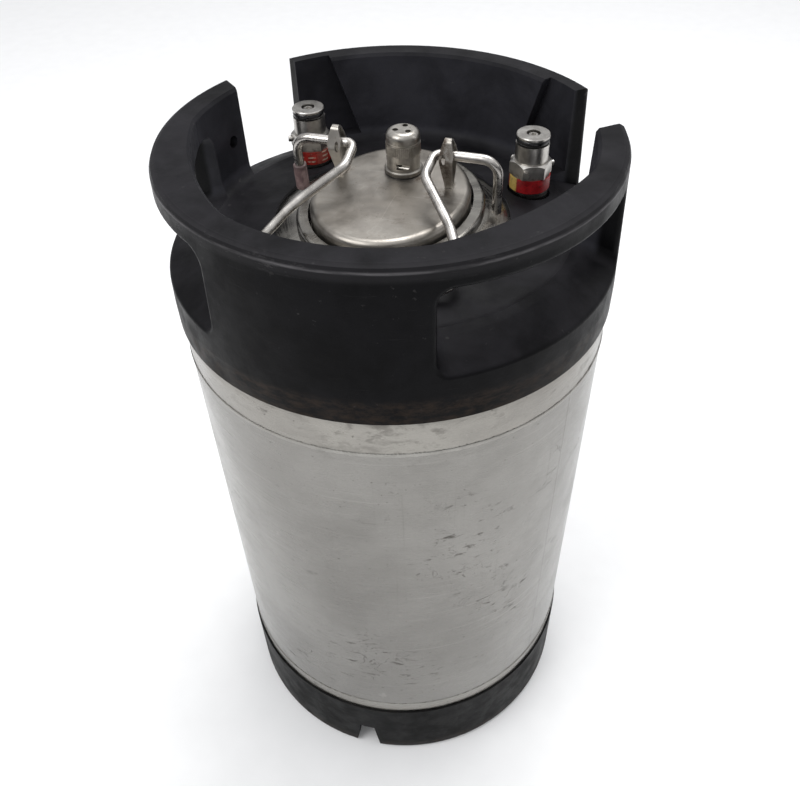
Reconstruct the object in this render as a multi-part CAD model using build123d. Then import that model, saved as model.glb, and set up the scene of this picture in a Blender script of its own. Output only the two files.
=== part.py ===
from build123d import *
import math
import os

os.makedirs("parts", exist_ok=True)

# Twelve litre stainless soda keg. Millimetres, +Z up, origin on the floor under the keg's axis.
# +X runs through the liquid post's side, the two posts stand behind the axis on +Y,
# and the free loop of the lid's bail lies in front of it on -Y.

# ---- driving dimensions ----
body_radius = 114.3            # nine inch shell
sheet = 1.5                    # stainless sheet thickness
total_height = 414.0           # floor to the collar's rim
rubber_gap = 0.1               # rubber stands this far off the steel it wraps

lower_seam_z = 64.0
upper_seam_z = 311.0

crown_radius = 172.7           # top head: spherical crown
crown_centre_z = 206.3
top_knuckle = 22.0
floor_crown_radius = 427.8     # bottom head: shallow crown
floor_crown_centre_z = 433.2
bottom_knuckle = 32.0
bottom_knuckle_z = 46.0

mouth_x, mouth_y = 41.0, 50.5  # half axes of the oval mouth
rim_width = 4.5                # flat of the raised rim round the mouth
rim_flare = 1.5                # wall of the raised rim
rim_top_z = 377.0

boot_radius = 115.5
boot_height = 54.2
boot_hole_radius = 84.0
notch_angles = (-86.0, 34.0, 154.0)
notch_low, notch_high, notch_height = 17.9, 10.0, 27.0

skirt_radius = 115.7
skirt_z = 332.5
collar_top_radius = 113.0
collar_inner_radius = 98.0
grip_inner_radius = 93.5       # thicker rubber over the hand holes, at its middle
grip_angle = -34.5             # middle of the right grip
grip_half_arc = 27.5
well_radius = 97.0             # foot of the collar's inner wall
well_round = 7.0
well_z = 365.0
sill_z = 357.2                 # ledge height at the outer face
lip_radius = 60.5              # round opening in the collar's floor
lip_z = 370.0
rim_bevel = 3.0
end_round, hole_round = 3.0, 2.5
pocket_radius = 103.5          # thinner wall at both ends of the back arc
pocket_angle, pocket_z = 54.9, 401.0
pocket_slant = 18.0            # the thin part's edge leans this far off upright, degrees

hand_hole_start, hand_hole_end = -62.5, 1.0
hand_hole_top_z = 401.0
gap_angle = 40.0               # the two gaps beside the posts
gap_width = 41.3
gap_offset = 18.2              # how far a gap's centre line passes from the axis

post_x, post_y = 62.0, 45.5
post_top_z = 400.0
post_radius = 8.7
hex_flats = 19.4
hex_turn = 20.0                # a corner of the hexagon points this way, degrees from +X
hex_low_z, hex_high_z = 378.4, 386.0
groove_low_z, groove_high_z = 395.3, 398.7
groove_radius = 7.1
port_radius = 10.2
tape_low_z = 371.0
hex_pin_z = 382.0
pin_radius = 1.6
bore_radius, bore_top_z = 6.2, 396.5       # room inside the post for the poppet and its spring
stem_hole_radius = 3.6
poppet_low_z, poppet_disc = 391.8, 1.4
tube_radius, tube_bore = 4.0, 3.2
tube_flange = 1.2
thread_radius = 8.2
port_top_z = 384.0
post_well_radius = 11.4        # clearance in the rubber floor round a post

lid_x, lid_y = 39.6, 49.1      # half axes of the lid's raised centre
lid_top_z = 383.0
lid_round = 3.4                # rounded edge of the raised centre
lid_sheet = 1.8
flange_x, flange_y = 45.2, 54.7
flange_top_z = 370.3
gasket_wire = 4.9

wire_radius = 2.4
pivot_y, pivot_z = 6.5, 402.5
foot_x = 52.5
ear_right_x, ear_left_x = 27.5, -30.0
ear_peak_z = 415.0             # where the two leaves would meet without the rounding
ear_sheet = 1.2
ear_bulge = 4.6                # half the opening between the two leaves at the wire

valve_y = 21.0
valve_radius = 8.7
valve_flange_radius = 9.9
valve_top_z = 406.0
valve_vent_z = 389.2
valve_line_z = 400.4           # turned line between the cap and its knurled band

# ---- helpers ----


def write(shape, node):
    """Writes one node's solid or group of solids."""
    shape.label = node
    export_step(shape, "parts/" + node + ".step")


def polar(radius, angle, z=0.0):
    """A point at a radius and an angle in degrees round the keg's axis."""
    turn = math.radians(angle)
    return (radius * math.cos(turn), radius * math.sin(turn), z)


def spun(outline, start=0.0, arc=360.0):
    """Turns a closed outline in the X-Z plane round Z, starting at an angle."""
    solid = revolve(outline, Axis.Z, arc)
    return Rot(0, 0, start) * solid


def outline(*points):
    """A closed straight-sided face in the X-Z plane from (radius, z) points."""
    corners = [(r, 0, z) for r, z in points]
    return make_face(Polyline(*corners, close=True))


def tube(inner, outer, low, high):
    """A plain ring on Z."""
    return spun(outline((inner, low), (outer, low), (outer, high), (inner, high)))


def oval(half_x, half_y, low, high):
    """An upright oval block centred on Z."""
    face = Pos(0, 0, low) * Ellipse(half_x, half_y)
    return extrude(face, high - low)


def hexagon(flats, low, high):
    """An upright hexagonal block centred on Z."""
    face = Pos(0, 0, low) * RegularPolygon(flats / 2, 6, major_radius=False, rotation=hex_turn)
    return extrude(face, high - low)


def spring(mean_radius, wire, low, high, turns):
    """A round wire coil standing on Z between two heights."""
    rise = high - low - wire
    path = Helix(rise / turns, rise, mean_radius)
    section = Plane(path @ 0, z_dir=path % 0) * Circle(wire / 2)
    return Pos(0, 0, low + wire / 2) * sweep(section, path, is_frenet=True)


# ---- welded vessel ----


def head_line(offset):
    """Top head's meridian, moved in by an offset, from the seam up to the axis."""
    crown = crown_radius - offset
    knuckle = top_knuckle - offset
    knuckle_r = body_radius - top_knuckle
    reach = crown_radius - top_knuckle
    knuckle_z = crown_centre_z + math.sqrt(reach ** 2 - knuckle_r ** 2)
    tilt = math.atan2(knuckle_z - crown_centre_z, knuckle_r)
    joint = (crown * math.cos(tilt), 0, crown_centre_z + crown * math.sin(tilt))
    edge = (body_radius - offset, 0, knuckle_z)
    middle = (knuckle_r + knuckle * math.cos(tilt / 2), 0, knuckle_z + knuckle * math.sin(tilt / 2))
    steep = (tilt + math.pi / 2) / 2
    shoulder = (crown * math.cos(steep), 0, crown_centre_z + crown * math.sin(steep))
    summit = (0, 0, crown_centre_z + crown)
    return [
        Line((body_radius - offset, 0, upper_seam_z), edge),
        ThreePointArc(edge, middle, joint),
        ThreePointArc(joint, shoulder, summit),
    ]


def floor_line(offset):
    """Bottom head's meridian, moved in by an offset, from the seam down to the axis."""
    crown = floor_crown_radius - offset
    knuckle = bottom_knuckle - offset
    knuckle_r = body_radius - bottom_knuckle
    tilt = math.atan2(bottom_knuckle_z - floor_crown_centre_z, knuckle_r)
    joint = (crown * math.cos(tilt), 0, floor_crown_centre_z + crown * math.sin(tilt))
    edge = (body_radius - offset, 0, bottom_knuckle_z)
    middle = (knuckle_r + knuckle * math.cos(tilt / 2), 0, bottom_knuckle_z + knuckle * math.sin(tilt / 2))
    steep = (tilt - math.pi / 2) / 2
    shoulder = (crown * math.cos(steep), 0, floor_crown_centre_z + crown * math.sin(steep))
    bottom = (0, 0, floor_crown_centre_z - crown)
    return [
        Line((body_radius - offset, 0, lower_seam_z), edge),
        ThreePointArc(edge, middle, joint),
        ThreePointArc(joint, shoulder, bottom),
    ]


def filled(line, seam_z):
    """The solid under a head's meridian, closed along the axis and across the seam."""
    start = line[0] @ 0
    end = line[-1] @ 1
    closing = [Line(end, (0, 0, seam_z)), Line((0, 0, seam_z), start)]
    return spun(make_face(line + closing))


def make_top_head():
    raised = oval(mouth_x + rim_width + rim_flare, mouth_y + rim_width + rim_flare, 340, rim_top_z)
    raised = fillet(raised.edges().sort_by(Axis.Z)[-1], 2.0)
    hollow = oval(mouth_x + rim_width + 0.5, mouth_y + rim_width + 0.5, 330, rim_top_z - sheet)
    head = filled(head_line(0), upper_seam_z) + raised
    head = head - filled(head_line(sheet), upper_seam_z) - hollow
    head = head - oval(mouth_x, mouth_y, 350, 390)
    for side in (-1, 1):
        head = head - Pos(side * post_x, post_y, 360) * Cylinder(port_radius, 60)
    return head


def make_bottom_head():
    return filled(floor_line(0), lower_seam_z) - filled(floor_line(sheet), lower_seam_z)


def make_bead(z):
    """Girth weld, a low crowned band."""
    band = make_face([
        Line((body_radius, 0, z - 1.3), (body_radius, 0, z + 1.3)),
        ThreePointArc((body_radius, 0, z + 1.3), (body_radius + 0.35, 0, z), (body_radius, 0, z - 1.3)),
    ])
    return spun(band)


def make_port():
    """Threaded port welded into the head, with the seat for the dip tube's o-ring."""
    port = tube(0, port_radius, 353, hex_low_z) + tube(0, thread_radius, hex_low_z, port_top_z)
    port = port - Pos(0, 0, 370) * Cylinder(4.3, 60)
    port = port - tube(0, 6.55, port_top_z - 2.4, port_top_z + 1)
    return port


# ---- rubber ----


def ledge_cutter(inner, top):
    """Everything above the collar's sloping ledge, from a radius outwards, up to a height."""
    slope = (sill_z - well_z) / (skirt_radius - well_radius)
    far = 135.0
    return outline((inner, well_z + 3), (inner, top), (far, top),
                   (far, well_z + slope * (far - well_radius)), (well_radius, well_z))


def grip_half_length():
    """Half length of the oval that leaves a grip flush with the wall at its two ends."""
    end = math.radians(grip_half_arc)
    rest = 1 / collar_inner_radius ** 2 - (math.cos(end) / grip_inner_radius) ** 2
    return math.sin(end) / math.sqrt(rest)


def chamfered_pad(pad):
    """Takes the sharp corner off the inner rim of a grip."""
    inner = [e for e in pad.edges() if e.center().Z > total_height - 0.1 and e.length > 60]
    inner.sort(key=lambda e: math.hypot(e.center().X, e.center().Y))
    return chamfer(inner[0], 1.4)


def make_pocket():
    """Cutter that thins one end of the back arc, up to an edge that leans towards that end."""
    ring = spun(outline((90, well_z + 4), (pocket_radius, well_z + 4),
                        (pocket_radius, total_height + 1), (90, total_height + 1)), gap_angle - 2, 30)
    side = Box(60, 60, 160, align=(Align.CENTER, Align.MAX, Align.CENTER))
    lean = Rot(0, 0, pocket_angle) * Pos(collar_inner_radius, 0, pocket_z) * Rot(pocket_slant, 0, 0)
    return ring & (lean * side)


def softened(collar):
    """Rounds the outer corners of the wall's four free ends, then the rims of the two hand holes."""
    free_ends = []
    for edge in collar.edges():
        middle = edge.center()
        outside = math.hypot(middle.X, middle.Y) > collar_top_radius + 0.5
        if outside and edge.length > 50 and 380 < middle.Z < 388:
            free_ends.append(edge)
    collar = fillet(free_ends, end_round)
    rims = []
    for edge in collar.edges():
        middle = edge.center()
        reach = math.hypot(middle.X, middle.Y)
        angle = math.degrees(math.atan2(middle.Y, abs(middle.X)))
        beside_hole = hand_hole_start - 1 < angle < hand_hole_end + 1
        on_rim = sill_z - 0.2 < middle.Z < hand_hole_top_z + 0.5
        if beside_hole and on_rim and collar_top_radius < reach < skirt_radius - 0.3:
            rims.append(edge)
    return fillet(rims, hole_round)


def make_collar():
    steel = filled(head_line(-rubber_gap), upper_seam_z)
    wall = outline(
        (lip_radius, 340), (lip_radius, lip_z), (well_radius, well_z),
        (collar_inner_radius, total_height - 1.5), (collar_inner_radius + 1.5, total_height),
        (collar_top_radius - rim_bevel, total_height), (collar_top_radius - 1.0, total_height - 1.0),
        (collar_top_radius, total_height - rim_bevel), (skirt_radius, 346), (skirt_radius, skirt_z),
        (body_radius - 2, skirt_z))
    corner = wall.vertices().filter_by(lambda v: abs(v.X - well_radius) < 0.1 and v.Z < well_z + 1)
    collar = spun(fillet(corner, well_round))
    # thicker rubber over the two hand holes, swelling smoothly out of the wall
    for turn in (grip_angle, 180 - grip_angle):
        pad = spun(outline((90, hand_hole_top_z), (collar_inner_radius + 1.5, hand_hole_top_z),
                           (collar_inner_radius + 1.5, total_height), (90, total_height)),
                   turn - grip_half_arc - 5, 2 * grip_half_arc + 10)
        hollow = Rot(0, 0, turn) * oval(grip_inner_radius, grip_half_length(), 380, 430)
        collar = collar + chamfered_pad(pad - hollow)
    # hand holes, with rounded corners at both ends
    for side in (0, 1):
        start = hand_hole_start if side == 0 else 180 - hand_hole_end
        window = spun(ledge_cutter(88, hand_hole_top_z), start, hand_hole_end - hand_hole_start)
        corners = [e for e in window.edges() if e.geom_type == GeomType.LINE
                   and e.center().Z > hand_hole_top_z - 1 and e.length > 20]
        window = fillet(corners, 8.0)
        corners = [e for e in window.edges() if e.geom_type == GeomType.LINE
                   and e.center().Z < sill_z + 1 and e.length > 20]
        collar = collar - fillet(corners, 6.0)
    # gaps beside the posts, cut down to the ledge
    above = spun(ledge_cutter(88, total_height + 10))
    for side in (1, -1):
        turn = math.radians(gap_angle)
        middle = (110 * math.cos(turn) + gap_offset * math.sin(turn),
                  110 * math.sin(turn) - gap_offset * math.cos(turn))
        lane = Pos(side * middle[0], middle[1], 390) * Rot(0, 0, side * gap_angle) * Box(80, gap_width, 90)
        collar = collar - (above & lane)
    pocket = make_pocket()
    collar = collar - pocket - mirror(pocket, Plane.YZ)
    # drain dimple in the wall behind one grip
    dimple = Pos(*polar(collar_inner_radius, 169, 388)) * Rot(0, 90, 169) * Cylinder(3.2, 6)
    collar = collar - dimple
    collar = collar - steel
    for side in (-1, 1):
        collar = collar - Pos(side * post_x, post_y, 370) * Cylinder(post_well_radius, 80)
    return softened(collar)


def make_boot():
    steel = filled(floor_line(-rubber_gap), lower_seam_z + 1)
    wall = make_face([
        Line((boot_hole_radius, 0, 0), (boot_radius - 4, 0, 0)),
        ThreePointArc((boot_radius - 4, 0, 0), (boot_radius - 1.17, 0, 1.17), (boot_radius, 0, 4)),
        Line((boot_radius, 0, 4), (boot_radius, 0, boot_height)),
        Line((boot_radius, 0, boot_height), (body_radius - 6, 0, boot_height)),
        Line((body_radius - 6, 0, boot_height), (boot_hole_radius, 0, 30)),
        Line((boot_hole_radius, 0, 30), (boot_hole_radius, 0, 0)),
    ])
    boot = spun(wall) - steel
    for angle in notch_angles:
        shape = Polyline((-notch_low / 2, -1), (notch_low / 2, -1), (notch_high / 2, notch_height),
                         (-notch_high / 2, notch_height), close=True)
        wedge = extrude(Plane.XZ * make_face(shape), 60)
        boot = boot - Rot(0, 0, angle + 90) * Pos(0, -75, 0) * wedge
    return boot


# ---- lid ----


def make_lid():
    """Pressed lid: raised oval centre with a rounded edge, and the flange that carries the gasket."""
    centre = oval(lid_x, lid_y, flange_top_z - lid_sheet, lid_top_z)
    centre = fillet(centre.edges().sort_by(Axis.Z)[-1], lid_round)
    inside = oval(lid_x - lid_sheet, lid_y - lid_sheet, 360, lid_top_z - lid_sheet)
    inside = fillet(inside.edges().sort_by(Axis.Z)[-1], lid_round - lid_sheet)
    lid = centre + oval(flange_x, flange_y, flange_top_z - lid_sheet, flange_top_z) - inside
    return lid - Pos(0, valve_y, 380) * Cylinder(6.0, 20)


def make_gasket():
    """Round ring lying on the lid's flange, just under the mouth's rim."""
    path = Pos(0, 0, flange_top_z + gasket_wire / 2) * Ellipse(42.5, 52.0).edge()
    section = Plane(path @ 0, z_dir=path % 0) * Circle(gasket_wire / 2)
    return sweep(section, path)


def make_ear():
    """Folded strap that holds the bail: two leaves that meet in a peak over the wire."""
    line = FilletPolyline(
        (8.6, lid_top_z + 0.6), (pivot_y - ear_bulge, pivot_z - 2), (pivot_y, ear_peak_z),
        (pivot_y + ear_bulge, pivot_z - 2), (12.6, lid_top_z + 0.6), radius=2.0)
    strip = offset(line, ear_sheet / 2, side=Side.BOTH)
    strap = extrude(Plane.YZ * make_face(strip.edges()), 7, both=True)
    half = [(1.6, lid_top_z), (3.5, pivot_z + 0.8), (3.0, pivot_z + 4), (1.2, pivot_z + 10)]
    shape = Polyline(*half, *[(-x, z) for x, z in reversed(half)], close=True)
    leaf = extrude(Plane.XZ * make_face(shape), 40, both=True)
    eye = Pos(-1.4, pivot_y, pivot_z - 1) * Rot(90, 0, 0) * extrude(Ellipse(1.0, 2.8), 20)
    foot = Pos(0, 11.0, lid_top_z + 0.6) * Box(3.6, 8.0, 1.2)
    return (strap & leaf) - eye + foot


def make_bail():
    """One length of round spring wire: foot, pivot, arm, loop and back again."""
    half = [(foot_x, 8.5, pivot_z - 28.5), (foot_x, pivot_y, pivot_z), (21.0, pivot_y, pivot_z),
            (20.0, -9.0, 398.5), (40.0, -33.0, 386.5), (54.0, -63.0, 373.2)]
    bends = [8.0, 4.2, 9.0, 60.0, 10.0]
    points = half + [(-x, y, z) for x, y, z in reversed(half)]
    path = FilletPolyline(*points, radius=bends + bends[::-1])
    section = Plane(path @ 0, z_dir=path % 0) * Circle(wire_radius)
    return sweep(section, path)


def make_foot_cap():
    """Plastic sleeve pushed over the left foot of the bail."""
    top = Vector(foot_x, 7.5, pivot_z - 28.5 + 13)
    end = Vector(foot_x, 8.5, pivot_z - 28.5)
    down = (end - Vector(foot_x, pivot_y, pivot_z)).normalized()
    base = end + down * 1.4
    plane = Plane(base, z_dir=down * -1)
    cap = plane * (Pos(0, 0, 7) * Cylinder(3.5, 14))
    cap = fillet(cap.edges().filter_by(GeomType.CIRCLE), 0.7)
    return cap - plane * (Pos(0, 0, 1.4 + 15) * Cylinder(wire_radius, 30))


# ---- relief valve ----


def make_valve_body():
    """Turned cap with a domed top, vents, and a threaded shank through the lid."""
    seat_z = lid_top_z + 0.8
    body = tube(0, valve_flange_radius, seat_z, seat_z + 2.4)
    body = chamfer(body.edges().sort_by(Axis.Z)[-1], 0.6)
    body = body + tube(0, valve_radius, seat_z, valve_top_z)
    body = fillet(body.edges().sort_by(Axis.Z)[-1], 3.4)
    body = body - tube(valve_radius - 0.35, valve_radius + 1, valve_line_z - 0.35, valve_line_z + 0.35)
    body = body + tube(0, 5.7, 375.5, seat_z)
    body = body - tube(0, 6.9, seat_z + 2.2, valve_top_z - 2.4) - Pos(0, 0, 380) * Cylinder(2.6, 30)
    for angle in (90, 210, 330):
        body = body - Pos(*polar(3.9, angle, valve_top_z)) * Cylinder(1.5, 12)
    for angle in (-70, 20, 110, 200):
        body = body - Pos(*polar(valve_radius, angle, valve_vent_z)) * Rot(0, 90, angle) * Cylinder(1.45, 8)
    return body


def make_relief_poppet():
    return tube(0, 5.4, 387.6, 389.0) + tube(0, 1.7, 389.0, 398.0)


# ---- posts ----


def make_post():
    """Hexagonal foot, round neck with an o-ring groove, flat top with the poppet's hole."""
    body = hexagon(hex_flats, hex_low_z, hex_high_z)
    cone = spun(outline((0, hex_low_z), (12.4, hex_low_z), (12.4, hex_high_z - 2.2),
                        (9.6, hex_high_z), (0, hex_high_z)))
    body = body & cone
    neck = tube(0, post_radius, hex_high_z, post_top_z)
    neck = chamfer(neck.edges().sort_by(Axis.Z)[-1], 0.4)
    body = body + neck - tube(groove_radius, 12, groove_low_z, groove_high_z)
    body = body - tube(0, thread_radius + 0.05, 370, port_top_z)
    body = body - tube(0, bore_radius, port_top_z - 1, bore_top_z)
    return body - Pos(0, 0, post_top_z) * Cylinder(stem_hole_radius, 20)


def make_pins(angles):
    """Short round pins standing out of the hexagon."""
    pin = Rot(0, 90, 0) * Cylinder(pin_radius, 8.0)
    block = hexagon(hex_flats, hex_low_z, hex_high_z)
    return [Rot(0, 0, a) * Pos(hex_flats / 2 - 1.2, 0, hex_pin_z) * pin - block for a in angles]


def make_post_ring():
    """Rubber ring filling the groove under the post's top."""
    low, high, outer = groove_low_z, groove_high_z, post_radius - 0.15
    return spun(make_face([
        Line((groove_radius, 0, low), (outer - 0.9, 0, low)),
        ThreePointArc((outer - 0.9, 0, low), (outer, 0, (low + high) / 2), (outer - 0.9, 0, high)),
        Line((outer - 0.9, 0, high), (groove_radius, 0, high)),
        Line((groove_radius, 0, high), (groove_radius, 0, low)),
    ]))


def make_poppet():
    """Stem with a small dished end, and the disc that carries the seal."""
    stem = tube(0, 2.4, poppet_low_z, post_top_z - 0.8)
    dish = tube(0, 1.2, post_top_z - 1.4, post_top_z)
    return stem + tube(0, 5.2, poppet_low_z, poppet_low_z + poppet_disc) - dish


def make_tube_flange():
    return tube(0, 6.0, port_top_z, port_top_z + tube_flange)


def make_dip_tube(route):
    """Drawn tube with a flared head that sits on the port."""
    path = FilletPolyline(*route, radius=40.0) if len(route) > 2 else Line(*route)
    wide = Plane(path @ 0, z_dir=path % 0) * Circle(tube_radius)
    bore = Plane(path @ 0, z_dir=path % 0) * Circle(tube_bore)
    return sweep(wide, path) + make_tube_flange() - sweep(bore, path)


vessel = {
    "shell_wall": tube(body_radius - sheet, body_radius, lower_seam_z, upper_seam_z),
    "top_head": make_top_head(),
    "bottom_head": make_bottom_head(),
    "upper_weld_bead": make_bead(upper_seam_z),
    "lower_weld_bead": make_bead(lower_seam_z),
    "top_collar": make_collar(),
    "bottom_boot": make_boot(),
    "lid_plate": make_lid(),
    "lid_gasket": make_gasket(),
    "bail_wire": make_bail(),
}
for node, shape in vessel.items():
    write(shape, node)

ear = make_ear()
write(Pos(ear_right_x, 0, 0) * ear, "bail_ear_right")
write(Pos(ear_left_x, 0, 0) * mirror(ear, Plane.YZ), "bail_ear_left")
write(mirror(make_foot_cap(), Plane.YZ), "bail_foot_cap")

relief = {
    "relief_body": make_valve_body(),
    "relief_washer": tube(5.9, 9.8, lid_top_z, lid_top_z + 0.8),
    "relief_nut": hexagon(17.0, 377.0, lid_top_z - lid_sheet) - Pos(0, 0, 380) * Cylinder(5.7, 20),
    "relief_seal": tube(0, 4.8, 386.2, 387.6),
    "relief_poppet": make_relief_poppet(),
    "relief_spring": spring(4.2, 0.9, 389.0, valve_top_z - 2.4, 7),
}
for node, shape in relief.items():
    write(Pos(0, valve_y, 0) * shape, node)

pin_angles = {"gas": (20, 200), "liquid": (-90, 30, 150)}
routes = {
    "gas": [(0, 0, port_top_z + tube_flange), (0, 0, 335.0)],
    "liquid": [(0, 0, port_top_z + tube_flange), (0, 0, 95.0), (-44.0, -32.0, 12.5)],
}
for name, side in (("gas", -1), ("liquid", 1)):
    fitting = {
        "port": make_port(),
        "post": make_post(),
        "post_ring": make_post_ring(),
        "poppet": make_poppet(),
        "poppet_seal": tube(2.4, 5.4, poppet_low_z + poppet_disc, bore_top_z - 0.2),
        "poppet_spring": spring(4.3, 0.8, port_top_z + tube_flange, poppet_low_z, 4),
        "dip_tube": make_dip_tube(routes[name]),
        "dip_tube_ring": spun(Pos(5.25, 0, port_top_z - 1.2) * Rot(90, 0, 0) * Circle(1.2)),
        "tape_band": tube(port_radius, port_radius + 0.5, tape_low_z, hex_low_z - 0.2),
    }
    place = Pos(side * post_x, post_y, 0)
    for node, shape in fitting.items():
        write(place * shape, name + "_" + node)
    write(Compound(children=[place * pin for pin in make_pins(pin_angles[name])]), name + "_pins")
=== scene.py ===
# %% [markdown]
# This lesson dresses a twelve litre soda keg. The measured CAD model is already packed as a fixed
# frame, so nothing is moved or resized here. We light it, give each metal and rubber its real
# finish, and add the small things that a lathe, a welder and years of use leave behind.

# %% Load the measured frame
import math
import bpy
from mathutils import Matrix, Vector


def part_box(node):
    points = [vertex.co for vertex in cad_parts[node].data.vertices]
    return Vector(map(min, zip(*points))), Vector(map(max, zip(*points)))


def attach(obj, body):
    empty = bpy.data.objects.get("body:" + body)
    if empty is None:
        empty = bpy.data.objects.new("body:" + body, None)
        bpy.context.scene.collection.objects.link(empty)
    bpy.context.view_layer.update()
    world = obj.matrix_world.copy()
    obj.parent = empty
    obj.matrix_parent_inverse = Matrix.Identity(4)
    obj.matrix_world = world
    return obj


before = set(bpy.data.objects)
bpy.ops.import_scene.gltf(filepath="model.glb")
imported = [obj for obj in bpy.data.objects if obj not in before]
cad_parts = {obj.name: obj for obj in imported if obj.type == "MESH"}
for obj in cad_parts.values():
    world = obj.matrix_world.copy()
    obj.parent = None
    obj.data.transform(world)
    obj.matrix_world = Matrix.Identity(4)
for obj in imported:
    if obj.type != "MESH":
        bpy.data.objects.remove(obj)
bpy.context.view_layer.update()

# %% [markdown]
# The viewer stands in front and a little to the right, and looks down at about 43 degrees.
# A camera is only a place, three directions and a lens, so it is set from those numbers with a
# matrix. A matrix keeps the slight roll of a camera held by hand, which aiming at a target would lose.

# %% Camera
EYE = Vector((0.1192, -0.3462, 0.588))
PAN, TILT, ROLL = math.radians(-18.83), math.radians(43.3), math.radians(-1.87)
LENS = 36.47


def aim(eye, pan, tilt, roll, lens):
    """A camera at eye, turned from +Y by pan, looking down by tilt."""
    ahead = Vector((math.sin(pan) * math.cos(tilt), math.cos(pan) * math.cos(tilt), -math.sin(tilt)))
    right = ahead.cross(Vector((0, 0, 1))).normalized()
    up = right.cross(ahead)
    level = math.cos(roll) * right + math.sin(roll) * up
    rise = math.cos(roll) * up - math.sin(roll) * right
    data = bpy.data.cameras.new("camera")
    data.lens = lens
    camera = bpy.data.objects.new("camera", data)
    bpy.context.collection.objects.link(camera)
    turn = Matrix((level, rise, -ahead)).transposed().to_4x4()
    camera.matrix_world = Matrix.Translation(eye) @ turn
    return camera


bpy.context.scene.camera = aim(EYE, PAN, TILT, ROLL, LENS)
print("camera stands", round(EYE.length, 2), "m from the keg's foot, with a", LENS, "mm lens")

# %% [markdown]
# Bare steel shows what is around it. The room here is bright overhead and grey at eye height, so
# the keg's upright wall stays a middle grey while the floor is nearly white. Large soft panels
# add the long highlights, and the dark rubber fills the small parts with contrast by itself.

# %% Soft panels
def soft_panel(name, place, target, width, height, power):
    """A rectangular area lamp that faces a point."""
    data = bpy.data.lights.new(name, "AREA")
    data.shape = "RECTANGLE"
    data.size = width
    data.size_y = height
    data.energy = power
    lamp = bpy.data.objects.new(name, data)
    bpy.context.collection.objects.link(lamp)
    lamp.location = place
    lamp.rotation_euler = (Vector(target) - Vector(place)).to_track_quat("-Z", "Y").to_euler()
    print(name, "panel:", power, "W over", round(width * height, 2), "square metres")


MIDDLE = (0, 0, 0.22)
soft_panel("key", (-0.7, -0.9, 1.5), MIDDLE, 0.9, 0.9, 11)
soft_panel("side", (1.5, 0.3, 0.8), MIDDLE, 0.4, 1.4, 2)
soft_panel("top", (0.1, 0.6, 1.8), MIDDLE, 1.0, 1.0, 16)
bpy.context.scene.view_settings.view_transform = "Standard"

# %% [markdown]
# The room itself is a sky with two greys. Its upward direction, from 0 at eye height to 1 straight
# up, slides between them, which is all that a curved steel wall needs to look round.

# %% Grey room
def grey_room(overhead, level, strength):
    """A room lit from its ceiling: one grey at eye height, a paler one overhead."""
    world = bpy.data.worlds.new("grey room")
    bpy.context.scene.world = world
    world.use_nodes = True
    tree = world.node_tree
    direction = tree.nodes.new("ShaderNodeTexCoord")
    split = tree.nodes.new("ShaderNodeSeparateXYZ")
    ramp = tree.nodes.new("ShaderNodeMapRange")
    mix = tree.nodes.new("ShaderNodeMix")
    mix.data_type = "RGBA"
    ramp.inputs["From Min"].default_value = 0.02
    ramp.inputs["From Max"].default_value = 0.75
    mix.inputs[6].default_value = level
    mix.inputs[7].default_value = overhead
    tree.links.new(direction.outputs["Generated"], split.inputs[0])
    tree.links.new(split.outputs[2], ramp.inputs[0])
    tree.links.new(ramp.outputs[0], mix.inputs[0])
    tree.links.new(mix.outputs[2], tree.nodes["Background"].inputs["Color"])
    tree.nodes["Background"].inputs["Strength"].default_value = strength
    print("room at strength", strength)


grey_room((0.97, 0.98, 1.0, 1), (0.36, 0.36, 0.37, 1), 0.85)

# %% [markdown]
# Every finish below is built from a handful of shader nodes. One helper adds a node, sets it and
# wires it, so a material reads from top to bottom like a recipe. Colours are written the way a
# paint chart gives them, as sRGB hex, and turned into the linear values that the shader needs.

# %% Colours and nodes
def linear(code, alpha=1.0):
    """Linear RGBA from an sRGB hex string."""
    parts = [int(code[i:i + 2], 16) / 255 for i in (0, 2, 4)]
    return tuple(p / 12.92 if p <= 0.04045 else ((p + 0.055) / 1.055) ** 2.4 for p in parts) + (alpha,)


def add(tree, kind, settings=None, **links):
    """Adds a node. settings are its properties; links are its inputs, as values or as sockets."""
    node = tree.nodes.new(kind)
    for key, value in (settings or {}).items():
        setattr(node, key, value)
    for key, value in links.items():
        name = key.replace("_", " ")
        socket = node.inputs[int(key[1:])] if key[0] == "i" and key[1:].isdigit() else node.inputs[name]
        if isinstance(value, bpy.types.NodeSocket):
            tree.links.new(value, socket)
        else:
            socket.default_value = value
    return node


def new_material(name):
    """An empty material with its Principled shader. Returns the material, its tree and the shader."""
    material = bpy.data.materials.new(name)
    material.use_nodes = True
    tree = material.node_tree
    return material, tree, tree.nodes["Principled BSDF"]


print("a mid grey, 808080, is", round(linear("808080")[0], 3), "in linear light")

# %% [markdown]
# Most finishes mix two tones by a mask, and most masks are a noise pushed through two limits. The
# next helpers do just that: mix, remap, calculate, make noise, and multiply masks together. Here
# a noise's scale is in clouds per metre, so a mark of 5 mm needs a scale of about 200.

# %% Masks and mixes
def blend(tree, amount, first, second):
    """A colour mix. Returns its output socket."""
    return add(tree, "ShaderNodeMix", {"data_type": "RGBA"}, i0=amount, i6=first, i7=second).outputs[2]


def steps(tree, value, low, high, to_low=0.0, to_high=1.0):
    """Remaps a value smoothly between two limits."""
    node = add(tree, "ShaderNodeMapRange", {"interpolation_type": "SMOOTHSTEP"},
               i0=value, i1=low, i2=high, i3=to_low, i4=to_high)
    return node.outputs[0]


def calc(tree, operation, first, second=0.0):
    """One arithmetic step."""
    return add(tree, "ShaderNodeMath", {"operation": operation}, i0=first, i1=second).outputs[0]


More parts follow.
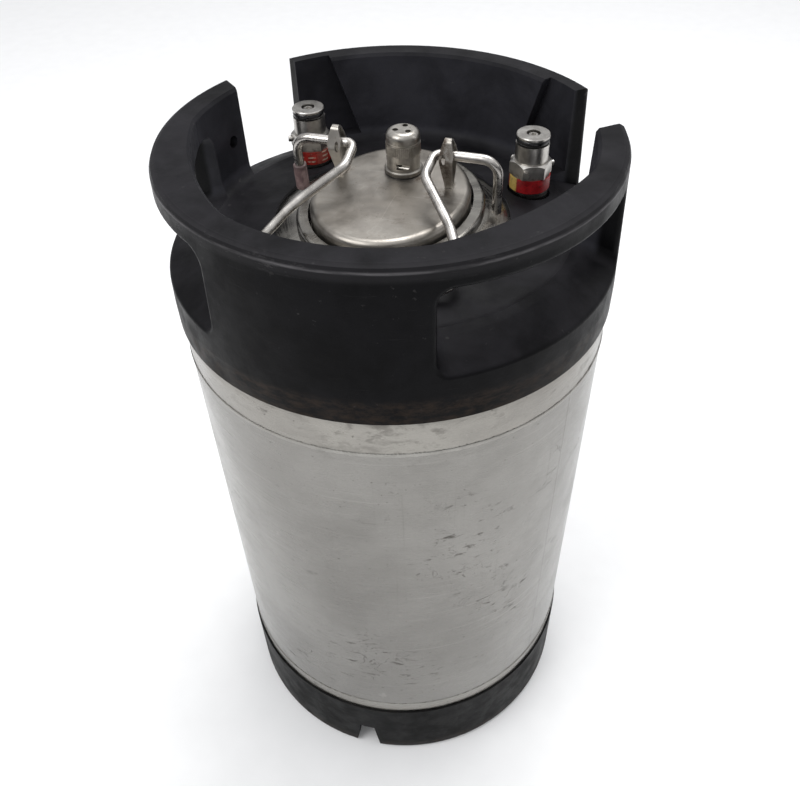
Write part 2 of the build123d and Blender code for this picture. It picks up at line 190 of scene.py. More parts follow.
def noise(tree, vector, scale, detail=4.0, rough=0.5, twist=0.0):
    """Cloudy variation from 0 to 1."""
    node = add(tree, "ShaderNodeTexNoise", {}, Vector=vector, Scale=scale, Detail=detail,
               Roughness=rough, Distortion=twist)
    return node.outputs["Fac"]


def band(tree, value, low, high, soft):
    """1 between two limits and 0 outside, with soft ends."""
    rise = steps(tree, value, low - soft, low + soft)
    fall = steps(tree, value, high - soft, high + soft, 1.0, 0.0)
    return calc(tree, "MULTIPLY", rise, fall)


def product(tree, *factors):
    """Several masks multiplied together."""
    total = factors[0]
    for factor in factors[1:]:
        total = calc(tree, "MULTIPLY", total, factor)
    return total


def strongest(tree, *masks):
    """The highest of several masks at each point."""
    top = masks[0]
    for mask in masks[1:]:
        top = calc(tree, "MAXIMUM", top, mask)
    return top


def relief(tree, shader, height, distance, strength):
    """Feeds a height in 0 to 1 to the shader as a bump of a real depth in metres."""
    bump = add(tree, "ShaderNodeBump", {}, Height=height, Distance=distance, Strength=strength)
    tree.links.new(bump.outputs[0], shader.inputs["Normal"])


print("masks ready: blend, steps, calc, noise, band, product, strongest, relief")

# %% [markdown]
# A pattern has to know where it is on the keg. All of them read Object coordinates, which are
# metres in the keg's own frame, so a pattern's size is a real size. A round wall is unrolled into
# arc length and height first, or a stretched noise would smear where the wall turns away.

# %% Places on the keg
MM = 0.001
SHELL_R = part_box("shell_wall")[1][0]
SKIRT_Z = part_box("top_collar")[0][2]
RIM_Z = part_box("top_collar")[1][2]


def places(tree, turn=(0, 0, 0), scale=(1, 1, 1)):
    """Object coordinates in metres, turned and stretched."""
    source = add(tree, "ShaderNodeTexCoord").outputs["Object"]
    return add(tree, "ShaderNodeMapping", {}, Vector=source, Rotation=turn, Scale=scale).outputs[0]


def xyz(tree):
    """The three object coordinates as separate sockets."""
    return add(tree, "ShaderNodeSeparateXYZ", {}, Vector=places(tree)).outputs


def arc_length(tree):
    """Distance round the shell from the keg's right hand side, in metres."""
    along, across, _ = xyz(tree)
    return calc(tree, "MULTIPLY", calc(tree, "ARCTAN2", across, along), SHELL_R)


def unroll(tree, along=1.0, across=1.0):
    """The shell's wall laid flat: arc length and height, each stretched."""
    arc = calc(tree, "MULTIPLY", arc_length(tree), along)
    height = calc(tree, "MULTIPLY", xyz(tree)[2], across)
    return add(tree, "ShaderNodeCombineXYZ", {}, X=arc, Y=height).outputs[0]


def reach(tree, x=0.0, y=0.0, mirrored=False):
    """Distance from an upright axis. Mirrored serves a pair of axes, one each side of the keg."""
    along, across, _ = xyz(tree)
    along = calc(tree, "ABSOLUTE", along) if mirrored else along
    offset = add(tree, "ShaderNodeCombineXYZ", {}, X=calc(tree, "SUBTRACT", along, x),
                 Y=calc(tree, "SUBTRACT", across, y))
    return add(tree, "ShaderNodeVectorMath", {"operation": "LENGTH"}, i0=offset.outputs[0]).outputs["Value"]


def facing_up(tree):
    """0 on a wall, 1 on what lies level and faces up."""
    normal = add(tree, "ShaderNodeNewGeometry").outputs["Normal"]
    level = add(tree, "ShaderNodeSeparateXYZ", {}, Vector=normal).outputs[2]
    return steps(tree, level, 0.25, 0.95)


def finish(material, *node_names):
    """Gives the meshes of some CAD nodes one material."""
    for node_name in node_names:
        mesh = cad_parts[node_name].data
        mesh.materials.clear()
        mesh.materials.append(material)
    print(material.name, "on", len(node_names), "pieces")


print("shell radius", round(SHELL_R / MM, 1), "mm, skirt at", round(SKIRT_Z / MM, 1), "mm")

# %% [markdown]
# The body is 304 stainless sheet with a rolled satin finish. Handling leaves long hair scratches,
# mostly round the body where kegs rub on each other. Each is noise stretched a hundred times along
# the arc, so that it reads as one stroke. Real hair scratches are too fine to see from here, so
# these are drawn a few times coarser.

# %% Scratches in rolled sheet
def scratched(tree, tone):
    """Hair scratches over a tone. Also returns the strokes round the body, raw and as a mask."""
    strokes_round = noise(tree, unroll(tree, 5.0, 520.0), 1.0, 4.0, 0.65)
    strokes_up = noise(tree, unroll(tree, 380.0, 6.0), 1.0, 3.0, 0.6)
    slant = places(tree, turn=(0.5, 0.2, 0.9), scale=(18.0, 420.0, 60.0))
    strokes_slanted = noise(tree, slant, 1.0, 3.0, 0.6)
    bright = steps(tree, strokes_round, 0.58, 0.76, 0.0, 0.26)
    tone = blend(tree, bright, tone, linear("bdbab5"))
    tone = blend(tree, steps(tree, strokes_slanted, 0.68, 0.78, 0.0, 0.25), tone, linear("c0bdb8"))
    tone = blend(tree, steps(tree, strokes_up, 0.62, 0.76, 0.0, 0.25), tone, linear("6d6a66"))
    return tone, strokes_round, bright


print("strokes round the body are about", round(1000 / 520, 1), "mm tall")

# %% [markdown]
# Rubber, shelves and other kegs leave dark scuffs, and they come in clusters, so a fine patchy noise
# is kept to the zones of a broad one. A thin slice through a wandering noise gives trails of dried
# drips. Just under the collar the sheet is darker in patches.

# %% Scuffs, trails and darkening under the collar
UNDER_COLLAR_DEPTH = 42 * MM


def soiled(tree, cloud):
    """Mask of scuffs in clusters, thin broken trails, and patchy darkening just under the skirt."""
    wall = unroll(tree)
    patch = noise(tree, unroll(tree, 70.0, 170.0), 1.0, 7.0, 0.68, 0.5)
    zone = noise(tree, wall, 15.0, 3.0, 0.5)
    scuff = product(tree, steps(tree, patch, 0.57, 0.66), steps(tree, zone, 0.48, 0.62), 0.8)
    wander = noise(tree, unroll(tree, 16.0, 30.0), 1.0, 4.0, 0.6, 1.6)
    gaps = steps(tree, noise(tree, wall, 70.0, 4.0, 0.6), 0.42, 0.6)
    trail = product(tree, band(tree, wander, 0.496, 0.504, 0.005), steps(tree, zone, 0.5, 0.62), gaps, 0.65)
    # darker in patches just under the collar
    under = steps(tree, xyz(tree)[2], SKIRT_Z - UNDER_COLLAR_DEPTH, SKIRT_Z)
    smear = product(tree, under, steps(tree, patch, 0.48, 0.64), steps(tree, cloud, 0.4, 0.62), 0.45)
    return strongest(tree, scuff, trail, smear)


print("darkening reaches", round(UNDER_COLLAR_DEPTH / MM), "mm below the skirt")

# %% [markdown]
# The rolled sheet closes on one upright weld, ground flush. All that shows is a line of another
# grey, a little over a millimetre wide, so it is a mask on the arc length and not a solid.

# %% Ground weld
SEAM_ANGLE = math.radians(-22.5)
SEAM_HALF = 0.7 * MM


def ground_weld(tree):
    """Mask of the upright weld."""
    middle = SEAM_ANGLE * SHELL_R
    return band(tree, arc_length(tree), middle - SEAM_HALF, middle + SEAM_HALF, SEAM_HALF / 2)


print("upright weld is", round(2 * SEAM_HALF / MM, 1), "mm wide")

# %% [markdown]
# Satin sheet is a metal with a middling roughness that varies with the rolling. Scratches that
# catch the light are a bit smoother than the rest, and dirt is rougher. The metal keeps its default
# IOR. A very low bump gives it the soft dents of a keg that has been rolled about.

# %% Scuffed satin sheet
def scuffed_sheet(name, tint, shade, rough, seam=False):
    """Rolled stainless sheet, unrolled to arc and height so that marks run round the body."""
    material, tree, shader = new_material(name)
    wall = unroll(tree)
    cloud = noise(tree, wall, 11.0, 6.0, 0.62, 0.3)
    tone = blend(tree, steps(tree, cloud, 0.36, 0.64), linear(shade), linear(tint))
    tone, strokes, bright = scratched(tree, tone)
    dirt = soiled(tree, cloud)
    tone = blend(tree, dirt, tone, linear("4a4641"))
    speck = noise(tree, wall, 420.0, 2.0, 0.4)
    tone = blend(tree, steps(tree, speck, 0.70, 0.76, 0.0, 0.6), tone, linear("55514c"))
    brush = noise(tree, unroll(tree, 26.0, 2600.0), 1.0, 3.0, 0.6)
    form = calc(tree, "ADD", product(tree, strokes, 0.10), noise(tree, wall, 24.0, 2.0, 0.4))
    form = calc(tree, "ADD", form, product(tree, brush, 0.02))
    if seam:
        weld = ground_weld(tree)
        tone = blend(tree, product(tree, weld, 0.4), tone, linear("74716d"))
        form = calc(tree, "ADD", form, product(tree, weld, 0.12))
    satin = steps(tree, noise(tree, wall, 34.0, 6.0, 0.65), 0.3, 0.7, rough - 0.05, rough + 0.05)
    satin = calc(tree, "ADD", satin, steps(tree, brush, 0.3, 0.7, -0.05, 0.07))
    gloss = calc(tree, "ADD", satin, product(tree, dirt, 0.28))
    gloss = calc(tree, "SUBTRACT", gloss, product(tree, bright, 0.12))
    tree.links.new(tone, shader.inputs["Base Color"])
    tree.links.new(gloss, shader.inputs["Roughness"])
    shader.inputs["Metallic"].default_value = 1.0
    relief(tree, shader, form, 1.1 * MM, 0.5)
    return material


shell_steel = scuffed_sheet("stainless 304, rolled satin sheet", "8f8d89", "82807c", 0.25, seam=True)
head_steel = scuffed_sheet("stainless 304, spun satin head", "9a9791", "8a8782", 0.26)
bead_steel = scuffed_sheet("stainless, welded and brushed bead", "a19f9a", "86837e", 0.30)
finish(shell_steel, "shell_wall")
finish(head_steel, "top_head", "bottom_head", "gas_port", "liquid_port")
finish(bead_steel, "upper_weld_bead", "lower_weld_bead")

# %% [markdown]
# Collar and boot are moulded nitrile rubber, nearly black. Years of rolling on the rim and knocking
# on posts leave the outer corner pale and torn. The whole corner is also lifted a little as painted
# sheen, and one bright line along the bevel is a painted highlight. Those marks are noise stretched
# round the rim, kept to the corner by its height and radius.

# %% Worn corner of the rubber
def worn_corner(tree, tone, drag, blotch, low, high):
    """Pale, torn rubber at the outer corner between two heights, with painted sheen on the corner and a
    painted highlight line. Returns the tone and the tears.
    """
    height = xyz(tree)[2]
    outer = steps(tree, reach(tree), SHELL_R - 5.5 * MM, SHELL_R - 2.6 * MM)
    corner = product(tree, band(tree, height, low, high, 1.6 * MM), outer)
    spread = steps(tree, noise(tree, places(tree), 9.0, 2.0, 0.5), 0.46, 0.62, 0.15, 1.0)
    torn = product(tree, corner, steps(tree, calc(tree, "ADD", drag, blotch), 1.08, 1.24), spread)
    tone = blend(tree, product(tree, torn, 0.6), tone, linear("4c4a4b"))
    # painted sheen: the outer corner is lifted to a lighter grey
    tone = blend(tree, product(tree, corner, 0.35), tone, linear("323133"))
    # painted highlight: a bright line along the bevel
    bevel_highlight_band = band(tree, height, high - 5.6 * MM, high - 4.6 * MM, 0.5 * MM)
    painted_bevel_highlight = product(tree, corner, bevel_highlight_band, steps(tree, drag, 0.35, 0.6, 0.2, 0.9), 0.7)
    return blend(tree, painted_bevel_highlight, tone, linear("6a686a")), torn


print("the rim's worn corner starts at radius", round(SHELL_R / MM - 5.5, 1), "mm")

# %% [markdown]
# The outside is rubbed along its whole height, and the skirt's foot holds a brown tide line of old
# syrup. Both are masks on the outer radius, so the inside of the collar stays free of them.

# %% Rub marks and tide line
def outside_marks(tree, tone, drag, blotch, low, high):
    """Rub marks all over the outside, and a brown stain between two heights."""
    outside = steps(tree, reach(tree), SHELL_R - 3.0 * MM, SHELL_R - 1.0 * MM)
    rubbed = product(tree, outside, steps(tree, drag, 0.62, 0.76, 0.0, 0.3))
    tone = blend(tree, rubbed, tone, linear("323132"))
    level = band(tree, xyz(tree)[2], low, high, 3 * MM)
    tide = product(tree, outside, level, steps(tree, blotch, 0.38, 0.66), 0.45)
    return blend(tree, tide, tone, linear("382c22"))


print("the tide line sits at", round(SKIRT_Z / MM), "mm, at the skirt's foot")

# %% [markdown]
# Dust settles on what faces up, and the same grey film is painted sheen that makes the tops read
# lighter, so the surface normal decides how grey the rubber gets. The walls inside get an even
# lighter grey, which is painted sheen. Old rubber throws back very little light, so its specular
# level is far below that of a fresh plastic.

# %% Moulded rubber
def moulded_rubber(name, tint, lift, dust_and_top_sheen, rough, worn, stained):
    """Black rubber. Worn and stained are each a low and a high limit in metres."""
    material, tree, shader = new_material(name)
    spot = places(tree)
    cloud = noise(tree, spot, 30.0, 6.0, 0.6, 0.3)
    tone = blend(tree, steps(tree, cloud, 0.34, 0.68), linear(tint), linear(lift))
    # dust, and painted sheen: what faces up is lifted to a lighter grey
    film = product(tree, facing_up(tree), steps(tree, cloud, 0.3, 0.7, 0.15, 0.7))
    tone = blend(tree, film, tone, linear(dust_and_top_sheen))
    upright = calc(tree, "SUBTRACT", 1.0, facing_up(tree))
    # painted sheen: the inside walls get an even lighter grey
    inner_wall_sheen = product(tree, steps(tree, reach(tree), SHELL_R - 12 * MM, SHELL_R - 8 * MM, 1.0, 0.0), upright,
                    steps(tree, cloud, 0.3, 0.7, 0.5, 1.0))
    tone = blend(tree, inner_wall_sheen, tone, linear("36363b"))
    drag = noise(tree, unroll(tree, 34.0, 420.0), 1.0, 5.0, 0.7, 0.3)
    blotch = noise(tree, unroll(tree, 120.0, 260.0), 1.0, 6.0, 0.7)
    tone, torn = worn_corner(tree, tone, drag, blotch, *worn)
    tone = outside_marks(tree, tone, drag, blotch, *stained)
    flecks = steps(tree, noise(tree, spot, 260.0, 3.0, 0.6), 0.66, 0.74)
    chalk = product(tree, flecks, steps(tree, cloud, 0.45, 0.6), 0.35)
    tone = blend(tree, chalk, tone, linear("4a4847"))
    gloss = steps(tree, noise(tree, spot, 70.0, 5.0, 0.6), 0.3, 0.7, rough - 0.09, rough + 0.1)
    gloss = calc(tree, "ADD", gloss, product(tree, film, 0.2))
    tree.links.new(tone, shader.inputs["Base Color"])
    tree.links.new(gloss, shader.inputs["Roughness"])
    shader.inputs["Specular IOR Level"].default_value = 0.07
    grain = noise(tree, spot, 1100.0, 3.0, 0.6)
    form = calc(tree, "ADD", product(tree, grain, 0.12), noise(tree, spot, 45.0, 3.0, 0.5))
    form = calc(tree, "SUBTRACT", form, product(tree, torn, 0.45))
    relief(tree, shader, form, 0.7 * MM, 0.6)
    return material


collar_rubber = moulded_rubber("nitrile rubber, moulded, rubbed at the rim",
                               "060607", "0e0e10", "2a292c", 0.42,
                               (RIM_Z - 7 * MM, RIM_Z + 2 * MM), (SKIRT_Z - 2 * MM, SKIRT_Z + 13 * MM))
boot_rubber = moulded_rubber("nitrile rubber, moulded, worn at the floor",
                             "090909", "161616", "2c2b2b", 0.48,
                             (-2 * MM, 7 * MM), (-2 * MM, 9 * MM))
finish(collar_rubber, "top_collar")
finish(boot_rubber, "bottom_boot")

# %% [markdown]
# The lid is pressed from the same sheet, polished once and then wiped for decades. Dried drink
# leaves pale rings and brown freckles. Darker patches beside the ears are painted shadow and
# reflection of the ears and wire, and one dark patch sits beside the valve.
# Rings come from a Voronoi field: the shell of each cell at one distance reads as a dried drop.

# %% Lid tone, stains and painted shadow
def wiped_tone(tree, tint, shade):
    """Clouded steel with dried rings and crossed wiping lines. Also returns the lines' noise."""
    spot = places(tree)
    cloud = noise(tree, spot, 34.0, 6.0, 0.6, 0.4)
    tone = blend(tree, steps(tree, cloud, 0.36, 0.64), linear(shade), linear(tint))
    cells = add(tree, "ShaderNodeTexVoronoi", {"feature": "F1"}, Vector=spot, Scale=130.0)
    rings = product(tree, band(tree, cells.outputs["Distance"], 0.28, 0.36, 0.05),
                    steps(tree, cloud, 0.5, 0.62), 0.35)
    tone = blend(tree, rings, tone, linear("b5b1aa"))
    hair = noise(tree, places(tree, turn=(0, 0, 0.7), scale=(14.0, 520.0, 1.0)), 1.0, 4.0, 0.6)
    cross = noise(tree, places(tree, turn=(0, 0, -0.4), scale=(460.0, 16.0, 1.0)), 1.0, 4.0, 0.6)
    lines = strongest(tree, steps(tree, hair, 0.62, 0.74), steps(tree, cross, 0.64, 0.76))
    return blend(tree, product(tree, lines, 0.4), tone, linear("c4c0b9")), hair


def stains_and_shade(tree, dark_spots):
    """Freckles, brown blotches, and patchy darkening round a few upright axes: painted shadow and reflection
    by the ears, a dark patch by the valve.
    """
    spot = places(tree)
    freckle = noise(tree, spot, 520.0, 3.0, 0.5)
    blotch = noise(tree, spot, 95.0, 6.0, 0.7, 0.6)
    stain_and_shade = product(tree, steps(tree, freckle, 0.62, 0.72), steps(tree, blotch, 0.45, 0.65, 0.0, 0.55))
    stain_and_shade = strongest(tree, stain_and_shade, steps(tree, blotch, 0.60, 0.74, 0.0, 0.4))
    patchy_darkening = steps(tree, noise(tree, spot, 300.0, 5.0, 0.7), 0.38, 0.6)
    # painted shadow and reflection of the ears and wire round the ear spots; a dark patch at the valve spot
    for x, y, size in dark_spots:
        near = steps(tree, reach(tree, x, y), size * 0.35, size, 1.0, 0.0)
        stain_and_shade = strongest(tree, stain_and_shade, product(tree, near, patchy_darkening))
    return stain_and_shade


EAR_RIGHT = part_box("bail_ear_right")
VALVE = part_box("relief_body")
VALVE_X, VALVE_Y = (VALVE[0][0] + VALVE[1][0]) / 2, (VALVE[0][1] + VALVE[1][1]) / 2
# painted shadow and reflection by both ears, and a dark patch beside the valve
LID_DARK_SPOTS = [(EAR_RIGHT[0][0], EAR_RIGHT[0][1], 9 * MM), (VALVE_X + 11 * MM, VALVE_Y - 5 * MM, 7 * MM),
             (-EAR_RIGHT[1][0], EAR_RIGHT[1][1], 7 * MM)]
print("dark spots sit at", len(LID_DARK_SPOTS), "places on the lid")

# %% [markdown]
# The two masks meet in one metal. Stained steel is rougher than clean steel, which is what makes a
# water mark visible from the side. The ears were spot welded on later and kept a brighter tone.

# %% Stained lid
def stained_lid(name, tint, shade, dark_spots):
    """Pressed sheet with water rings, freckles, hair scratches, and darkening at a few places that by the
    ears is painted shadow and reflection.
    """
    material, tree, shader = new_material(name)
    spot = places(tree)
    tone, hair = wiped_tone(tree, tint, shade)
    stain_and_shade = stains_and_shade(tree, dark_spots)
    # stains, and painted shadow and reflection of the ears and wire
    tone = blend(tree, product(tree, stain_and_shade, 0.8), tone, linear("4a3c30"))
    satin = steps(tree, noise(tree, spot, 90.0, 6.0, 0.65), 0.3, 0.7, 0.31, 0.47)
    tree.links.new(tone, shader.inputs["Base Color"])
    tree.links.new(calc(tree, "ADD", satin, product(tree, stain_and_shade, 0.3)), shader.inputs["Roughness"])
    shader.inputs["Metallic"].default_value = 1.0
    form = calc(tree, "ADD", product(tree, hair, 0.06), noise(tree, spot, 60.0, 2.0, 0.4))
    relief(tree, shader, form, 0.4 * MM, 0.5)
    return material


lid_steel = stained_lid("stainless 304, pressed lid, stained", "a19c95", "87827b", LID_DARK_SPOTS)
# the ear carries the right ear's spot of painted shadow and reflection
ear_steel = stained_lid("stainless strap, folded and spot welded", "b3afa8", "918c86", LID_DARK_SPOTS[:1])
finish(lid_steel, "lid_plate")
finish(ear_steel, "bail_ear_left", "bail_ear_right")

# %% [markdown]
# Valve, posts, pins and poppets are turned from bar. A lathe tool leaves fine rings round the
# axis, so the marks depend only on the distance from that axis and on height. One finish serves
# both posts, because it takes the keg's left and right as mirror images of each other.

# %% Turned steel
def turned_steel(name, tint, shade, rough, x, y, mirrored, grime_z):
    """Bar stock turned on a lathe: fine rings, small knocks, tarnish, and a darker zone below a height."""
    material, tree, shader = new_material(name)
    spot = places(tree)
    height = xyz(tree)[2]
    profile = add(tree, "ShaderNodeCombineXYZ", {}, X=product(tree, reach(tree, x, y, mirrored), 5200.0),
                  Y=product(tree, height, 4200.0))
    rings = noise(tree, profile.outputs[0], 1.0, 2.0, 0.6)
    cloud = noise(tree, spot, 160.0, 5.0, 0.6, 0.4)
    tone = blend(tree, steps(tree, cloud, 0.34, 0.66), linear(shade), linear(tint))
    knocks = noise(tree, spot, 620.0, 4.0, 0.7, 0.6)
    tone = blend(tree, steps(tree, knocks, 0.64, 0.72, 0.0, 0.6), tone, linear("d2cfc9"))
    tarnish = steps(tree, noise(tree, spot, 240.0, 5.0, 0.65), 0.56, 0.74, 0.0, 0.3)
    # darker below a height: at the valve's foot, where it meets the lid
    corner = product(tree, steps(tree, height, grime_z, grime_z + 5 * MM, 1.0, 0.0),
                     steps(tree, cloud, 0.35, 0.6), 0.8)
    dirt = strongest(tree, tarnish, corner)
    tone = blend(tree, dirt, tone, linear("3f3a34"))
    gloss = calc(tree, "ADD", product(tree, rings, 0.16), product(tree, dirt, 0.3))
    tree.links.new(tone, shader.inputs["Base Color"])
    tree.links.new(calc(tree, "ADD", gloss, rough), shader.inputs["Roughness"])
    shader.inputs["Metallic"].default_value = 1.0
    form = calc(tree, "ADD", product(tree, rings, 0.3), product(tree, knocks, 0.5))
    relief(tree, shader, form, 0.12 * MM, 0.6)
    return material


print("lathe rings are about", round(1000 / 5200, 2), "mm apart")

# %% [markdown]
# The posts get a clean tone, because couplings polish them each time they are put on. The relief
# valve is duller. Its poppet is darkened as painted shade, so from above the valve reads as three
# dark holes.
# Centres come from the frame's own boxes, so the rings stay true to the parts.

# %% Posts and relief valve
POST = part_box("liquid_post")
POST_X, POST_Y = (POST[0][0] + POST[1][0]) / 2, (POST[0][1] + POST[1][1]) / 2
LID_TOP_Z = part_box("lid_plate")[1][2]
post_steel = turned_steel("stainless 303, turned post", "c4c1bc", "a5a29d", 0.22,
                          POST_X, POST_Y, True, POST[0][2])
valve_steel = turned_steel("stainless 303, turned relief valve", "bfbbb4", "a09c95", 0.22,
                           VALVE_X, VALVE_Y, False, LID_TOP_Z + 1 * MM)
# painted shade: the poppet is darkened so the holes in the valve's cap read dark
poppet_shade_steel = turned_steel("stainless 303, turned, darkened as painted shade", "45413c", "2c2926", 0.4,
                            VALVE_X, VALVE_Y, False, POST[0][2])
print("posts stand", round(2 * POST_X / MM, 1), "mm apart")
for side in ("gas", "liquid"):
    finish(post_steel, side + "_post", side + "_pins", side + "_poppet", side + "_dip_tube")
finish(valve_steel, "relief_body", "relief_nut")
finish(poppet_shade_steel, "relief_poppet")

# %% [markdown]
# The bail is spring wire, drawn through a die and bent cold. Drawing leaves fine lines along the
# real wire, the bends are a little polished, and the front loop is scratched where fingers and
# openers lift it; here the wire gets short scratches all over and a dull film in places. Springs
# are the same wire, thinner and cleaner.

# %% Drawn wire
def drawn_wire(name, tint, shade, rough):
    """Hard drawn stainless wire with short scratches and a dull film in places."""
    material, tree, shader = new_material(name)
    spot = places(tree)
    cloud = noise(tree, spot, 90.0, 5.0, 0.6, 0.3)
    tone = blend(tree, steps(tree, cloud, 0.36, 0.64), linear(shade), linear(tint))
    nicks = noise(tree, places(tree, turn=(0.3, 0.4, 0.6), scale=(900.0, 150.0, 500.0)), 1.0, 4.0, 0.7)
    tone = blend(tree, steps(tree, nicks, 0.60, 0.72, 0.0, 0.6), tone, linear("d8d5cf"))
    film = steps(tree, noise(tree, spot, 210.0, 6.0, 0.7), 0.56, 0.72, 0.0, 0.4)
    tone = blend(tree, film, tone, linear("5d5851"))
    polish = steps(tree, cloud, 0.3, 0.7, rough - 0.05, rough + 0.1)
    tree.links.new(tone, shader.inputs["Base Color"])
    tree.links.new(calc(tree, "ADD", polish, product(tree, film, 0.3)), shader.inputs["Roughness"])
    shader.inputs["Metallic"].default_value = 1.0
    relief(tree, shader, nicks, 0.08 * MM, 0.6)
    return material


bail_steel = drawn_wire("stainless spring wire, drawn and bent", "cfcbc6", "aaa6a1", 0.26)
spring_steel = drawn_wire("stainless spring wire, coiled", "a3a19d", "85827e", 0.22)
finish(bail_steel, "bail_wire")
finish(spring_steel, "relief_spring", "gas_poppet_spring", "liquid_poppet_spring")

# %% [markdown]
# Seals are smooth black rubber, wet looking where grease is left on them, with a few specks of
# lint. The sleeve on the bail's foot is soft vinyl that has aged from clear red to a dull pinkish
# grey, dirtier at its open end.

# %% Seals and sleeve
def seal_rubber(name):
    """Smooth black rubber with a greasy shine and a few specks of lint."""
    material, tree, shader = new_material(name)
    spot = places(tree)
    smear = noise(tree, spot, 260.0, 4.0, 0.6)
    lint = steps(tree, noise(tree, spot, 1400.0, 3.0, 0.6), 0.68, 0.76, 0.0, 0.5)
    tone = blend(tree, lint, blend(tree, smear, linear("0c0c0d"), linear("171718")), linear("4a4a4c"))
    tree.links.new(tone, shader.inputs["Base Color"])
    tree.links.new(steps(tree, smear, 0.35, 0.65, 0.18, 0.45), shader.inputs["Roughness"])
    relief(tree, shader, smear, 0.06 * MM, 0.5)
    return material


def aged_vinyl(name, open_z):
    """Soft vinyl sleeve, yellowed, with dirt rubbed in near the open end."""
    material, tree, shader = new_material(name)
    cloud = noise(tree, places(tree), 220.0, 5.0, 0.6, 0.4)
    tone = blend(tree, steps(tree, cloud, 0.36, 0.64), linear("6b5656"), linear("96807e"))
    streak = noise(tree, places(tree, scale=(900.0, 900.0, 120.0)), 1.0, 4.0, 0.6)
    ends = steps(tree, xyz(tree)[2], open_z - 4 * MM, open_z)
    dirt = strongest(tree, steps(tree, streak, 0.55, 0.7, 0.0, 0.6), product(tree, ends, 0.6))
    tone = blend(tree, dirt, tone, linear("2c2423"))
    tree.links.new(tone, shader.inputs["Base Color"])
    tree.links.new(steps(tree, cloud, 0.3, 0.7, 0.34, 0.55), shader.inputs["Roughness"])
    relief(tree, shader, streak, 0.12 * MM, 0.5)
    return material


finish(seal_rubber("nitrile seal rubber, moulded, greased"), "lid_gasket", "relief_washer", "relief_seal",
       "gas_post_ring", "liquid_post_ring", "gas_poppet_seal", "liquid_poppet_seal",
       "gas_dip_tube_ring", "liquid_dip_tube_ring")
finish(aged_vinyl("vinyl sleeve, dip moulded, aged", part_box("bail_foot_cap")[1][2]), "bail_foot_cap")

# %% [markdown]
# Each post carries a turn of coloured tape: red round the liquid side, with a faded yellow start,
# and red with broken pale stripes round the gas side. Where the second colour starts is an angle
# round the post, and the stripes are a sine wave up its height.

# %% Wrapped tape
def wrapped_tape(name, tint, shade, second, post_x, cut, stripes):
    """A turn of vinyl tape. Near an angle it shows a second colour; stripes run round it in pale ink."""
    material, tree, shader = new_material(name)
    spot = places(tree)
    along, across, height = xyz(tree)
    angle = calc(tree, "ARCTAN2", calc(tree, "SUBTRACT", across, POST_Y),
                 calc(tree, "SUBTRACT", along, post_x))
    cloud = noise(tree, spot, 320.0, 5.0, 0.6)
    tone = blend(tree, steps(tree, cloud, 0.34, 0.68), linear(shade), linear(tint))
    away = calc(tree, "ABSOLUTE", calc(tree, "SUBTRACT", calc(tree, "ABSOLUTE", angle), cut))
    tone = blend(tree, steps(tree, away, 0.28, 0.36, 1.0, 0.0), tone, linear(second))
    wave = calc(tree, "SINE", product(tree, height, stripes))
    broken = steps(tree, noise(tree, places(tree, scale=(330.0, 330.0, 160.0)), 1.0, 3.0, 0.5), 0.44, 0.56)
    ink = product(tree, steps(tree, wave, 0.3, 0.7, 0.0, 0.85), broken)
    tone = blend(tree, ink, tone, linear("b9aa98"))
    dirt = steps(tree, noise(tree, spot, 700.0, 5.0, 0.7), 0.5, 0.66, 0.0, 0.6)
    tone = blend(tree, dirt, tone, linear("1d0e0c"))
    tree.links.new(tone, shader.inputs["Base Color"])
    tree.links.new(steps(tree, cloud, 0.3, 0.7, 0.28, 0.5), shader.inputs["Roughness"])
    relief(tree, shader, noise(tree, spot, 420.0, 3.0, 0.5), 0.15 * MM, 0.6)
    return material


liquid_tape = wrapped_tape("vinyl tape, red, worn", "a3161b", "7c0c12", "b59a52", POST_X, 2.4, 0.0)
gas_tape = wrapped_tape("vinyl tape, red with pale lines", "a3261c", "741712", "8a3a30", -POST_X, 0.6, 2600.0)
finish(liquid_tape, "liquid_tape_band")
finish(gas_tape, "gas_tape_band")

# %% [markdown]
# Both girth welds were laid in one pass while the keg turned under the torch. The pool freezes in
# overlapping scales, like a row of coins tipped over. The scales sit at even steps round a circle,
# which is a rule, so a small geometry tree lays them: a circle of points, one scale on each, a
# little uneven in size, and turned to face outwards. First come the tree's named inputs.

# %% Inputs of the ring tree
RING_INPUTS = (("Count", "NodeSocketInt", 48), ("Radius", "NodeSocketFloat", 0.01),
               ("Centre", "NodeSocketVector", (0, 0, 0)), ("Size", "NodeSocketVector", (1, 1, 1)),
               ("Uneven", "NodeSocketFloat", 0.1), ("Rod", "NodeSocketBool", False),
               ("Seed", "NodeSocketInt", 1), ("Finish", "NodeSocketMaterial", None))


def open_inputs(tree, inputs):
    """Gives a geometry tree its named inputs. Returns the sockets that carry them."""
    face = tree.interface
    face.new_socket("Geometry", in_out="INPUT", socket_type="NodeSocketGeometry")
    for label, kind, value in inputs:
        socket = face.new_socket(label, in_out="INPUT", socket_type=kind)
        if value is not None:
            socket.default_value = value
    face.new_socket("Geometry", in_out="OUTPUT", socket_type="NodeSocketGeometry")
    return tree.nodes.new("NodeGroupInput").outputs


print("ring tree takes", len(RING_INPUTS), "inputs")
